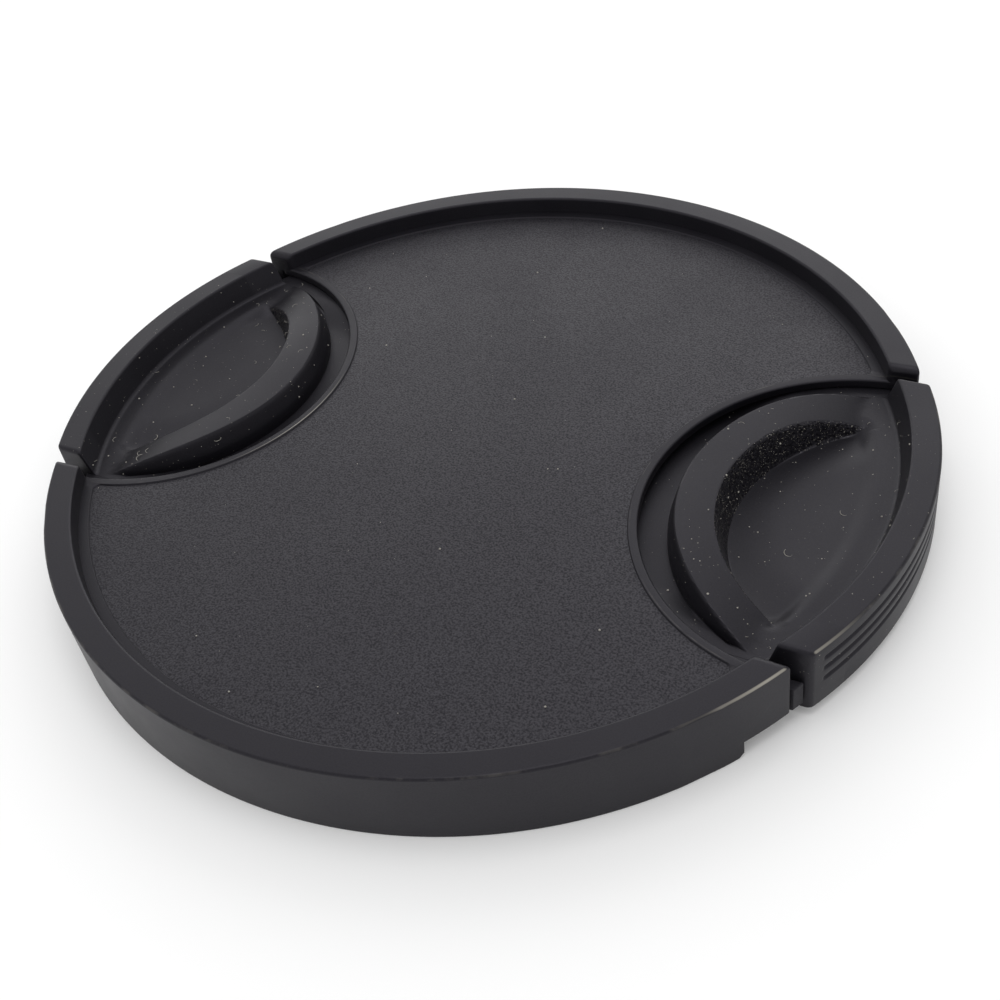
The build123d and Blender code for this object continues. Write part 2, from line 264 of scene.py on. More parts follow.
DISH_RADIUS = (POCKET_RUN ** 2 + POCKET_DISH ** 2) / (2 * POCKET_DISH)
POD_START = GRIP_START - POD_WALL
PLATE_HALF_WIDTH = WINDOW_RADIUS + PLATE_OVERLAP
EAR_END = PLATE_END + EAR_LENGTH
PLATE_START = PLATE_END + SPRING_POCKET + PLATE_ROOM
GUIDE_START = EAR_END + STOP_GAP
GUIDE_INNER = PLATE_HALF_WIDTH + SIDE_GAP
GUIDE_OUTER = GUIDE_INNER + RIB
TAB_INNER = LATCH_HALF_WIDTH + LATCH_SIDE_GAP
TAB_OUTER = WINDOW_RADIUS - TAB_GAP
PLUG_RADIUS = THREAD_RADIUS - PLUG_GAP

# Camera that took the photograph: its aim point, turn, tilt, roll, distance and lens
CAMERA_AIM = Vector((3.94, -4.33, 1.47))
CAMERA_AZIMUTH = -33.809
CAMERA_ELEVATION = 42.431
CAMERA_ROLL = 10.168
CAMERA_DISTANCE = 134.1
CAMERA_LENS = 49.0

# Glow of the table, light of the room, least angle of a sharp edge and least upward turn of a dusty face
FLOOR_GLOW = 0.08
ROOM_LIGHT = 0.95
SHARP_ANGLE = 34
DUST_SLOPE = 0.2


class CapSizes(bpy.types.PropertyGroup):
    """Sizes of the finish that a user may change."""

    rim_edge: FloatProperty(
        name="Rim edge", description="Rounding along the rim's top edges",
        default=0.28 * MM, unit="LENGTH", precision=5,
    )
    end_round: FloatProperty(
        name="End round", description="Rounding over the rim's ends at the slots",
        default=0.8 * MM, unit="LENGTH", precision=5,
    )
    latch_end_round: FloatProperty(
        name="Latch end round", description="Rounding over the ends of a latch's rim",
        default=0.45 * MM, unit="LENGTH", precision=5,
    )
    grain_size: FloatProperty(
        name="Grain size", description="Width of one bump of the panel's grain",
        default=0.19 * MM, unit="LENGTH", precision=5,
    )
    wire: FloatProperty(
        name="Spring wire", description="Thickness of the spring wire",
        default=0.3 * MM, unit="LENGTH", precision=5,
    )
    spring_turns: IntProperty(
        name="Spring turns", description="Number of turns of each coil spring", default=9, min=3,
    )
    dust_size: FloatProperty(
        name="Dust size", description="Radius of a large speck of dust",
        default=0.12 * MM, unit="LENGTH", precision=5,
    )
    dust_density: FloatProperty(
        name="Dust density", description="Specks of dust on each square centimetre", default=3.4, min=0.0,
    )


def linear(code):
    """Linear colour of an sRGB hex code such as 1B1A1E."""
    channels = [int(code[i:i + 2], 16) / 255 for i in (0, 2, 4)]
    return [c / 12.92 if c <= 0.04045 else ((c + 0.055) / 1.055) ** 2.4 for c in channels]


class CapColours(bpy.types.PropertyGroup):
    """Colours of the finishes that a user may change."""

    plastic: FloatVectorProperty(
        name="Plastic", description="Colour of the moulded plastic",
        default=linear("131216"), subtype="COLOR", size=3, min=0.0, max=1.0,
    )
    sheen: FloatVectorProperty(
        name="Sheen", description="Tint of the light that the plastic throws back",
        default=linear("F6F2FF"), subtype="COLOR", size=3, min=0.0, max=1.0,
    )
    # Pale colour of wear and handling flecks, also used for the painted highlight along the window border
    # and the painted glints in the coarse grain
    pale_wear_and_highlight: FloatVectorProperty(
        name="Worn edge", description="Colour of plastic rubbed pale along its edges",
        default=linear("9A968C"), subtype="COLOR", size=3, min=0.0, max=1.0,
    )
    steel: FloatVectorProperty(
        name="Spring steel", description="Colour of the spring wire",
        default=linear("B9B7B2"), subtype="COLOR", size=3, min=0.0, max=1.0,
    )
    dust: FloatVectorProperty(
        name="Dust", description="Colour of dust and lint",
        default=linear("BDB9B0"), subtype="COLOR", size=3, min=0.0, max=1.0,
    )
    floor: FloatVectorProperty(
        name="Floor", description="Colour of the table under the cap",
        default=linear("F4F4F4"), subtype="COLOR", size=3, min=0.0, max=1.0,
    )


# Shapes: every function below works in millimetres

def lerp(start, end, share):
    """Value at a share of the way between two values."""
    return start + (end - start) * share


def spread(start, end, count):
    """Evenly spaced values from start to end, both included."""
    return [lerp(start, end, i / (count - 1)) for i in range(count)]


def smooth_step(low, high, value):
    """0 below low, 1 above high, with a smooth rise between."""
    share = min(1.0, max(0.0, (value - low) / (high - low)))
    return share * share * (3 - 2 * share)


def soft_min(a, b, blend):
    """Lower of two heights, with the crease between them rounded over a blend height."""
    near = max(blend - abs(a - b), 0.0) / blend
    return min(a, b) - near * near * blend / 4


def soft_max(a, b, blend):
    """Higher of two heights, with the crease between them rounded over a blend height."""
    return -soft_min(-a, -b, blend)


def chord(radius, distance):
    """Half width of a circle at a distance from its centre."""
    return sqrt(max(radius ** 2 - distance ** 2, 0.0))


def round_over(radius, distance):
    """How far a rounded edge falls below its face at a distance from the end."""
    return radius - chord(radius, max(radius - distance, 0.0))


def arc(centre, start, end, steps):
    """Points of the arc about a centre from start to end, both included."""
    from_centre, to_end = start - centre, end - centre
    turned = [from_centre.slerp(to_end, k / steps) for k in range(steps + 1)]
    return [centre + direction * from_centre.length for direction in turned]


def rounded(corners, steps=4):
    """Closed outline through (u, v, radius) corners; a radius makes an arc, None keeps one point."""
    points = []
    for i, (u, v, radius) in enumerate(corners):
        here = Vector((u, v))
        if radius is None:
            points.append(here)
            continue
        before = Vector(corners[i - 1][:2]) - here
        after = Vector(corners[(i + 1) % len(corners)][:2]) - here
        half_angle = before.angle(after) / 2
        centre = here + (before.normalized() + after.normalized()).normalized() * (radius / sin(half_angle))
        run = radius / (sin(half_angle) / cos(half_angle))
        start = here + before.normalized() * run
        end = here + after.normalized() * run
        points += arc(centre, start, end, steps)
    return points


def add_object(name, data):
    """New object in the scene."""
    made = bpy.data.objects.new(name, data)
    bpy.context.scene.collection.objects.link(made)
    return made


def fill(mesh, ring):
    """Fills a closed ring of vertices with triangles, laid out flat along the ring's own normal."""
    turn = geometry.normal([vertex.co for vertex in ring]).rotation_difference(Vector((0, 0, 1)))
    flat = [(turn @ vertex.co).to_2d() for vertex in ring]
    inside_only = 1
    filled = geometry.delaunay_2d_cdt(flat, [], [list(range(len(ring)))], inside_only, 1e-5)
    triangles, sources = filled[2], filled[3]
    for triangle in triangles:
        mesh.faces.new([ring[sources[i][0]] for i in triangle])


def clear_slivers(mesh):
    """Joins points that coincide and takes out edges and faces without size."""
    bmesh.ops.remove_doubles(mesh, verts=mesh.verts, dist=NEAR)
    bmesh.ops.dissolve_degenerate(mesh, edges=mesh.edges, dist=NEAR)


def loft(sections, name):
    """Closed mesh object through sections with equal numbers of points, filled in at both ends."""
    mesh = bmesh.new()
    rings = [[mesh.verts.new(point) for point in section] for section in sections]
    for ring, after in zip(rings, rings[1:]):
        for i in range(len(ring)):
            mesh.faces.new((ring[i - 1], ring[i], after[i], after[i - 1]))
    for ring in (rings[0], rings[-1]):
        fill(mesh, ring)
    clear_slivers(mesh)
    bmesh.ops.recalc_face_normals(mesh, faces=mesh.faces)
    data = bpy.data.meshes.new(name)
    mesh.to_mesh(data)
    mesh.free()
    return add_object(name, data)


def inset(outline, distance):
    """Outline moved inwards by a distance; the outline runs anticlockwise."""
    moved = []
    for i, here in enumerate(outline):
        before = (here - outline[i - 1]).normalized()
        after = (outline[(i + 1) % len(outline)] - here).normalized()
        normal = Vector((-before.y - after.y, before.x + after.x))
        moved.append(here + normal * (distance * 2 / max(normal.length_squared, 0.5)))
    return moved


def prism(outline, low, high, name="prism", edge=CHAMFER):
    """Upright solid on a plan outline that runs anticlockwise, with its top and bottom edges chamfered."""
    outline = [Vector(point) for point in outline]
    levels = ((low, edge), (low + edge, 0.0), (high - edge, 0.0), (high, edge))
    sections = []
    for height, step in levels:
        ring = inset(outline, step) if step else outline
        sections.append([(point.x, point.y, height) for point in ring])
    return loft(sections, name)


def block(x_range, y_range, low, high, name="block", edge=CHAMFER):
    """Upright block over a plan rectangle."""
    (x0, x1), (y0, y1) = sorted(x_range), sorted(y_range)
    return prism([(x0, y0), (x1, y0), (x1, y1), (x0, y1)], low, high, name, edge)


def round_post(x, y, radius, low, high, edge=CHAMFER, count=40):
    """Upright round post with chamfered ends."""
    turns = [2 * pi * i / count for i in range(count)]
    outline = [(x + radius * cos(turn), y + radius * sin(turn)) for turn in turns]
    return prism(outline, low, high, "post", edge)


def bake(piece):
    """Replaces a piece's mesh with what its modifiers make of it."""
    graph = bpy.context.evaluated_depsgraph_get()
    made = bpy.data.meshes.new_from_object(piece.evaluated_get(graph))
    old = piece.data
    piece.modifiers.clear()
    piece.data = made
    bpy.data.meshes.remove(old)


def combine(base, others, operation="UNION"):
    """Joins or cuts solids by Boolean, and removes those used up."""
    for other in others:
        step = base.modifiers.new("Combine", "BOOLEAN")
        step.operation = operation
        step.solver = "EXACT"
        step.object = other
        bake(base)
        bpy.data.objects.remove(other)
    mesh = bmesh.new()
    mesh.from_mesh(base.data)
    clear_slivers(mesh)
    mesh.to_mesh(base.data)
    mesh.free()
    return base


def mirrored(piece, name, axis):
    """Mirror image of a piece across the plane square to an axis."""
    copy = add_object(name, piece.data.copy())
    copy.data.transform(Matrix.Scale(-1, 4, axis))
    copy.data.flip_normals()
    return copy


def paint(piece, finishes, choose):
    """Gives each face one of the finishes; choose returns its number from the face's centre and normal."""
    for material in finishes:
        piece.data.materials.append(material)
    for face in piece.data.polygons:
        face.material_index = choose(face.center, face.normal)


def settle(piece, body, slot, *nodes):
    """Scales a finished piece to metres, shades it and puts it in the frame."""
    piece.data.transform(Matrix.Scale(MM, 4))
    piece.data.shade_smooth()
    piece.data.set_sharp_from_angle(angle=radians(SHARP_ANGLE))
    weighted = piece.modifiers.new("Weighted Normal", "WEIGHTED_NORMAL")
    weighted.keep_sharp = True
    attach(piece, body)
    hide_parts(*nodes)


# Front cover

def crossing(radius, window_radius):
    """X where a circle about the cap's axis crosses one about the centre of a latch window."""
    return (radius ** 2 - window_radius ** 2 + WINDOW_CENTRE ** 2) / (2 * WINDOW_CENTRE)


def window_edge(radius):
    """Half width of the latch window where it crosses a circle about the cap's axis."""
    x = crossing(radius, WINDOW_RADIUS)
    return WINDOW_RADIUS if x > WINDOW_CENTRE else chord(radius, x)


def swept(section, start, count):
    """Sections of an arc on the near side, from a start angle to its mirror image."""
    sections = []
    for angle in spread(start, pi - start, count):
        sections.append([(r * cos(angle), -r * sin(angle), z) for r, z in section])
    return sections


def rim_section(sizes, distance, low):
    """Radius and height outline of rim and wall at a distance from the rim's end."""
    bite = round_over(END_CORNER, distance)
    top = RIM_TOP - round_over(sizes.end_round / MM, distance)
    edge = sizes.rim_edge / MM
    return rounded([
        (WALL_INNER + bite, PANEL_MIDDLE, None),
        (WALL_INNER + bite, low, FOOT_EDGE),
        (OUTER_RADIUS - bite, low, FOOT_EDGE),
        (OUTER_RADIUS - bite, top, edge),
        (RIM_INNER + bite, top, edge),
        (BORDER_RADIUS + bite, BORDER_TOP, None),
        (BORDER_RADIUS + bite, PANEL_MIDDLE, None),
    ])


def rim_arc(sizes, name):
    """Arc of rim and side wall on the near side, with rounded ends and a shorter wall beside the slots."""
    end_round = sizes.end_round / MM
    near_end = [LAP + end_round * (1 - cos(share * pi / 2)) for share in spread(0, 1, 9)]
    columns = [(run, SHORT_WALL_LIFT) for run in near_end]
    columns += [(run, SHORT_WALL_LIFT) for run in spread(end_round, SHORT_WALL_LENGTH, 6)[1:]]
    columns += [(SHORT_WALL_LENGTH, STEP_CHAMFER), (SHORT_WALL_LENGTH + STEP_CHAMFER, 0.0), (END_RUN, 0.0)]
    right, left = [], []
    for run, low in columns:
        ring = []
        for radius, height in rim_section(sizes, run, low):
            y = window_edge(radius) + run
            ring.append(Vector((chord(radius, y), -y, height)))
        right.append(ring)
        left.insert(0, [Vector((-point.x, point.y, point.z)) for point in ring])
    past_end = radians(2)
    start = asin((WINDOW_RADIUS + END_RUN) / RIM_INNER) + past_end
    middle = swept(rim_section(sizes, END_RUN, 0.0), start, 120)
    return loft(right + middle + left, name)


def panel_outline(radius, window_radius):
    """Plan outline of the panel: two arcs of a circle and two window edges, with filleted corners."""
    reach, away = radius - PANEL_CORNER, window_radius + PANEL_CORNER
    x = crossing(reach, away)
    centre, window = Vector((x, chord(reach, x))), Vector((WINDOW_CENTRE, 0))
    on_circle = centre * (radius / reach)
    on_window = window + (centre - window) * (window_radius / away)
    middle = Vector((WINDOW_CENTRE - window_radius, 0))
    quarter = arc(window, middle, on_window, 40)[:-1]
    quarter += arc(centre, on_window, on_circle, 8)[:-1]
    quarter += arc(Vector((0, 0)), on_circle, Vector((0, radius)), 60)[:-1]
    flipped = [Vector((-p.x, p.y)) for p in quarter]
    far = quarter + [Vector((0, radius))] + flipped[:0:-1]
    return far + [Vector((-p.x, -p.y)) for p in far]


def make_panel():
    """Thin front panel with rounded window edges and a lower field for the grain."""
    hidden = WALL_INNER + PANEL_LAP
    levels = [(hidden, WINDOW_RADIUS, COVER_UNDER), (hidden, WINDOW_RADIUS, BORDER_TOP - WINDOW_EDGE)]
    for turn in spread(0, pi / 2, 6)[1:]:
        step = WINDOW_EDGE * (1 - cos(turn))
        height = BORDER_TOP - WINDOW_EDGE * (1 - sin(turn))
        levels.append((hidden, WINDOW_RADIUS + step, height))
    field, border = BORDER_RADIUS - BORDER_WIDTH, WINDOW_RADIUS + WINDOW_BORDER
    slope = GRAIN_STEP / 3
    levels += [
        (field + slope, border - slope, BORDER_TOP), (field, border, BORDER_TOP - slope),
        (field - slope, border + slope, PANEL_TOP),
    ]
    sections = []
    for radius, window_radius, height in levels:
        sections.append([(p.x, p.y, height) for p in panel_outline(radius, window_radius)])
    return loft(sections, "panel")


def make_stakes():
    """Posts, pins and flattened heads that hold the back plate."""
    levels = (
        (STAKE_POST, BACK_TOP, PANEL_MIDDLE), (STAKE_RADIUS, BACK_LOW - LAP, BACK_TOP + CHAMFER * 2),
        (STAKE_HEAD, BACK_LOW - STAKE_HEAD_HEIGHT, BACK_LOW),
    )
    return [round_post(end * STAKE_X, side * STAKE_Y, *level) for end, side in CORNERS for level in levels]


def make_front_cover(sizes):
    """Rim, side wall and panel in one moulding, with web, guides and stakes on its back."""
    cover = make_panel()
    near = rim_arc(sizes, "near_rim")
    far = mirrored(near, "far_rim", (0, 1, 0))
    ribs = [block((-WEB / 2, WEB / 2), (-EAR_HALF_WIDTH, EAR_HALF_WIDTH), BACK_TOP, PANEL_MIDDLE)]
    guide_end = chord(WALL_INNER - RIB, GUIDE_OUTER)
    for end, side in CORNERS:
        across = (side * GUIDE_INNER, side * GUIDE_OUTER)
        ribs.append(block((end * GUIDE_START, end * guide_end), across, BACK_TOP, PANEL_MIDDLE))
    return combine(cover, [near, far, *ribs, *make_stakes()])


# Latches

def latch_height(x, y):
    """Height of the latch's upper face: plate, dished pocket and grip ridge, blended where they meet."""
    from_ridge = hypot(x - RIDGE_CENTRE, y)
    from_grip = hypot(x - GRIP_CENTRE, y)
    from_rim = hypot(x - LATCH_CENTRE, y)
    front = RIDGE_TOP - (from_ridge - RIDGE_RADIUS) / RIDGE_SLOPE
    grip = RIDGE_TOP + (from_grip - GRIP_RADIUS) / GRIP_SLOPE
    crown = RIDGE_TOP - CROWN_RADIUS + chord(CROWN_RADIUS, x - CROWN_MIDDLE)
    ridge = soft_min(soft_min(crown, front, FRONT_BLEND), grip, GRIP_BLEND)
    dish = POCKET_LOW + (x - POCKET_LOW_AT) ** 2 / (2 * DISH_RADIUS) + y * y / (2 * POCKET_CROSS_RADIUS)
    dish -= POCKET_DIP * (1 - smooth_step(0, POCKET_DIP_REACH, GRIP_FOOT - from_grip))
    outside = soft_max(from_grip - GRIP_FOOT - POCKET_RAMP, from_rim - POCKET_RADIUS, POCKET_CORNER)
    floor = lerp(dish, PLATE_TOP, smooth_step(-POCKET_RAMP, 0, outside))
    return soft_max(ridge, floor, FLOOR_BLEND)


def at_arc(centre, radius, y):
    """X of an arc about a centre on the latch axis, on the side that faces the cap's middle."""
    return centre - chord(radius, y)


def beyond(centre, radius, y):
    """X of an arc about a centre on the latch axis, on the side that faces outwards."""
    return centre + chord(radius, y)


def latch_top(y, foot):
    """Points of the latch's upper face in the plane at y, from the plate out to the rim's foot."""
    fade = smooth_step(FOOT_GROOVE_REACH - FOOT_GROOVE_FADE, FOOT_GROOVE_REACH, abs(y))
    depth = FOOT_GROOVE_DEPTH * (1 - fade)
    sunk = CRESCENT_STEP * (1 - smooth_step(CRESCENT_LEVEL, CRESCENT_END, abs(y)))
    groove = RIDGE_FOOT + FOOT_GROOVE
    front_rows = [groove, groove - LAP, RIDGE_FOOT + LAP]
    front_rows += spread(RIDGE_FOOT - LAP, RIDGE_RADIUS - FRONT_ROWS_IN, 12)
    grip_rows = spread(GRIP_RADIUS + GRIP_ROWS_OUT, GRIP_FOOT - GRIP_ROWS_IN, 18)
    ramp_rows = spread(POCKET_RADIUS - RAMP_ROWS_IN * POCKET_RAMP, POCKET_RADIUS + RAMP_ROWS_OUT, 12)
    xs = [at_arc(RIDGE_CENTRE, radius, y) for radius in front_rows]
    xs += spread(xs[-1], at_arc(GRIP_CENTRE, grip_rows[0], y), 9)[1:-1]
    xs += [at_arc(GRIP_CENTRE, radius, y) for radius in grip_rows]
    xs += spread(xs[-1], beyond(LATCH_CENTRE, ramp_rows[0], y), 20)[1:-1]
    xs += [beyond(LATCH_CENTRE, radius, y) for radius in ramp_rows]
    xs += [lerp(xs[-1], foot, 0.5)]
    xs = list(accumulate([min(x, foot - LAP) for x in xs], max))
    xs = [lerp(x, even, EVEN_SHARE) for x, even in zip(xs, spread(xs[0], foot - LAP, len(xs)))]
    drops = (0.0, depth, depth)
    heights = [PLATE_TOP - max(sunk, drop) for drop in drops]
    heights += [latch_height(x, y) for x in xs[len(drops):]]
    return [Vector((PLATE_START, PLATE_TOP - sunk))] + [Vector(pair) for pair in zip(xs, heights)]


def latch_section(sizes, y, lift):
    """Closed outline of the latch in the plane at y; lift raises its underside where it is thinner."""
    run = LATCH_HALF_WIDTH - abs(y)
    bite = round_over(LATCH_END_CORNER, run)
    top = RIM_TOP - round_over(sizes.latch_end_round / MM, run)
    edge = sizes.rim_edge / MM
    depth = GROOVE_DEPTH * smooth_step(GROOVE_END - GROOVE_FADE, GROOVE_END + GROOVE_FADE, run)
    outer = LATCH_RADIUS - bite
    wall_inner = LATCH_WALL_INNER + bite
    first_groove = RIM_TOP - GROOVE_TOP + GROOVE_WIDTH / 2
    under = POD_LOW + lift
    rim = rounded([
        (0.0, PLATE_TOP, None), (LATCH_FOOT + bite, PLATE_TOP, RIM_FOOT_ROUND),
        (LATCH_RIM_INNER + bite, top, edge), (outer, top, edge), (outer, first_groove + LAP, None),
    ])[1:]
    for groove in range(GROOVE_COUNT):
        high = first_groove - groove * GROOVE_PITCH
        for share in GROOVE_SHARES:
            cut = depth * smooth_step(0, GROOVE_WALL, min(share, 1 - share))
            rim.append(Vector((outer - cut, high - share * GROOVE_WIDTH)))
    rim += rounded([
        (outer, rim[-1].y - LAP, None), (outer, LATCH_WALL_LIFT, FOOT_EDGE),
        (wall_inner, LATCH_WALL_LIFT, FOOT_EDGE), (wall_inner, under, None),
    ])
    rim = [Vector((beyond(LATCH_CENTRE, radius, y), z)) for radius, z in rim]
    below = [Vector((POD_START, under)), Vector((POD_START, PLATE_LOW)), Vector((PLATE_START, PLATE_LOW))]
    outline = latch_top(y, rim[0].x) + rim + below
    return [(point.x, y, point.y) for point in outline]


def make_thread_hook():
    """Tongue with thread teeth under the latch, which grips the filter thread."""
    root = THREAD_RADIUS - THREAD_HEIGHT
    back = THREAD_RADIUS - HOOK_THICKNESS
    outline = [(back, PLUG_LOW), (root, PLUG_LOW)]
    for tooth in range(int((POD_LOW - PLUG_LOW) / THREAD_PITCH)):
        height = PLUG_LOW + tooth * THREAD_PITCH
        outline += [(THREAD_RADIUS, height + THREAD_PITCH / 2), (root, height + THREAD_PITCH)]
    outline += [(root, POD_LOW + LAP * 4), (back, POD_LOW + LAP * 4)]
    sections = []
    for y in spread(-HOOK_HALF_WIDTH, HOOK_HALF_WIDTH, 60):
        sections.append([(chord(radius, y), y, height) for radius, height in outline])
    return loft(sections, "thread_hook")


def make_slide_plate():
    """Flat plate of the latch that slides under the panel, with stop ears, side strips and spring slots."""
    reach = WALL_INNER - EDGE_GAP
    inner = LATCH_HALF_WIDTH - PLATE_ROOT
    side = [(chord(reach, y), y) for y in spread(inner, PLATE_HALF_WIDTH, 8)]
    slot_low, slot_high = SPRING_SPACING - SPRING_ROOM, SPRING_SPACING + SPRING_ROOM
    slot_end = PLATE_END + SPRING_POCKET
    half = [(PLATE_START + PLATE_LAP, inner), *side] + [
        (EAR_END, PLATE_HALF_WIDTH), (EAR_END, EAR_HALF_WIDTH), (PLATE_END, EAR_HALF_WIDTH),
        (PLATE_END, slot_high), (slot_end, slot_high), (slot_end, slot_low), (PLATE_END, slot_low),
    ]
    outline = half + [(x, -y) for x, y in reversed(half)]
    return prism(outline, PLATE_LOW + LAP, PLATE_TOP - LAP, "slide_plate", PLATE_CHAMFER)


def make_latch(sizes):
    """Sliding latch at +X: rim arc, side grip, finger pocket, grip ridge, plate and thread hook."""
    end_round = sizes.latch_end_round / MM
    end_run = [end_round * (1 - cos(share * pi / 2)) for share in spread(0, 1, 10)]
    ys = [LATCH_HALF_WIDTH - run for run in end_run]
    ys += spread(ys[-1], POD_HALF_WIDTH, 26)[1:-1]
    stations = [(y, PLATE_LOW - POD_LOW) for y in ys]
    stations += [(POD_HALF_WIDTH, PLATE_LOW - POD_LOW)]
    stations += [(y, 0.0) for y in spread(POD_HALF_WIDTH - LAP, 0, 62)]
    stations += [(-y, lift) for y, lift in reversed(stations[:-1])]
    latch = loft([latch_section(sizes, y, lift) for y, lift in stations], "latch")
    return combine(latch, [make_slide_plate(), make_thread_hook()])


# Back plate

def back_outline():
    """Plan outline of the back plate, cut away for the latches' walls and pockets."""
    reach = WALL_INNER - BACK_EDGE_GAP
    way = LATCH_WALL_INNER - EDGE_GAP
    way_centre = LATCH_CENTRE - TRAVEL
    notch_half = POD_HALF_WIDTH + NOTCH_GAP
    notch_start = POD_START - TRAVEL - NOTCH_GAP
    quarter = [(notch_start, 0.0), (notch_start, notch_half)]
    quarter += [(beyond(way_centre, way, y), y) for y in spread(notch_half, TAB_INNER, 8)]
    start = asin(TAB_INNER / reach)
    quarter += [(reach * cos(angle), reach * sin(angle)) for angle in spread(start, pi / 2, 60)]
    far = quarter + [(-x, y) for x, y in reversed(quarter[:-1])]
    return far[1:-1] + [(x, -y) for x, y in reversed(far[1:-1])]


def make_plug_arc():
    """Arc of the ring that sits inside the lens thread, on the near side."""
    notch_half = POD_HALF_WIDTH + NOTCH_GAP
    start = asin((notch_half + PLUG_END_GAP) / (PLUG_RADIUS - PLUG_WALL))
    section = rounded([
        (PLUG_RADIUS - PLUG_WALL, PLUG_LOW, FOOT_EDGE), (PLUG_RADIUS, PLUG_LOW, FOOT_EDGE),
        (PLUG_RADIUS, BACK_LOW + LAP * 5, None), (PLUG_RADIUS - PLUG_WALL, BACK_LOW + LAP * 5, None),
    ])
    return loft(swept(section, start, 110), "plug_arc")


def make_tab(end, side):
    """Piece of side wall that closes the lower part of one slot."""
    sections = []
    for share in spread(0, 1, 6):
        y = lerp(TAB_INNER, TAB_OUTER, share)
        corners = rounded([
            (WALL_INNER, SHORT_WALL_LIFT, FOOT_EDGE), (OUTER_RADIUS, SHORT_WALL_LIFT, FOOT_EDGE),
            (OUTER_RADIUS, TAB_TOP, FOOT_EDGE), (WALL_INNER, TAB_TOP, FOOT_EDGE),
        ])
        sections.append([(end * chord(r, y), side * y, z) for r, z in corners])
    return loft(sections, "tab")


def make_tab_bridge(end, side):
    """Strip of plate that carries a tab."""
    reach, start = OUTER_RADIUS - WALL / 2, WALL_INNER - WALL * 2
    x = chord(reach, TAB_OUTER)
    x_range = (end * (x - reach + start), end * x)
    y_range = (side * (TAB_INNER + LAP), side * (TAB_OUTER - LAP))
    return block(x_range, y_range, BACK_LOW + LAP, BACK_TOP - LAP, edge=FINE_CHAMFER)


def make_back_plate():
    """Plate that closes the back, with a ring for the filter thread and four pieces of side wall."""
    back = prism(back_outline(), BACK_LOW, BACK_TOP, "back")
    near = make_plug_arc()
    far = mirrored(near, "far_plug", (0, 1, 0))
    tabs = [make(end, side) for end, side in CORNERS for make in (make_tab, make_tab_bridge)]
    combine(back, [near, far, *tabs])
    spring_low = (SPRING_LOW.z + SPRING_HIGH.z) / 2 - SPRING_ROOM
    hole = STAKE_RADIUS + STAKE_GAP
    cuts = []
    for end, side in CORNERS:
        across = (side * (SPRING_SPACING - SPRING_ROOM), side * (SPRING_SPACING + SPRING_ROOM))
        along = (end * WEB / 2, end * (PLATE_END + SPRING_POCKET))
        cuts.append(block(along, across, spring_low, RIM_TOP, edge=FINE_CHAMFER))
        cuts.append(round_post(end * STAKE_X, side * STAKE_Y, hole, 0.0, RIM_TOP, FINE_CHAMFER))
    return combine(back, cuts, "DIFFERENCE")


# Materials

# Grain of a moulded face: width and depth in millimetres, share of painted shade in its pits and painted
# highlight on its peaks, and shine
Skin = namedtuple("Skin", "width depth hollows shine")


def add_node(tree, kind, inputs=None, **settings):
    """Adds a node with its settings; each input gets a value, or a link to a socket or to a node."""
    node = tree.nodes.new(kind)
    for key, value in settings.items():
        setattr(node, key, value)
    for key, value in (inputs or {}).items():
        if isinstance(value, bpy.types.Node):
            value = next(socket for socket in value.outputs if socket.enabled)
        if isinstance(value, bpy.types.NodeSocket):
            tree.links.new(value, node.inputs[key])
        else:
            node.inputs[key].default_value = value
    return node


def new_material(name):
    """Empty node material, and the tree that holds its nodes."""
    material = bpy.data.materials.new(name)
    material.use_nodes = True
    material.node_tree.nodes.clear()
    return material, material.node_tree


def per_metre(size):
    """Scale of a texture whose pattern repeats over a size in millimetres."""
    return 1 / (size * MM)


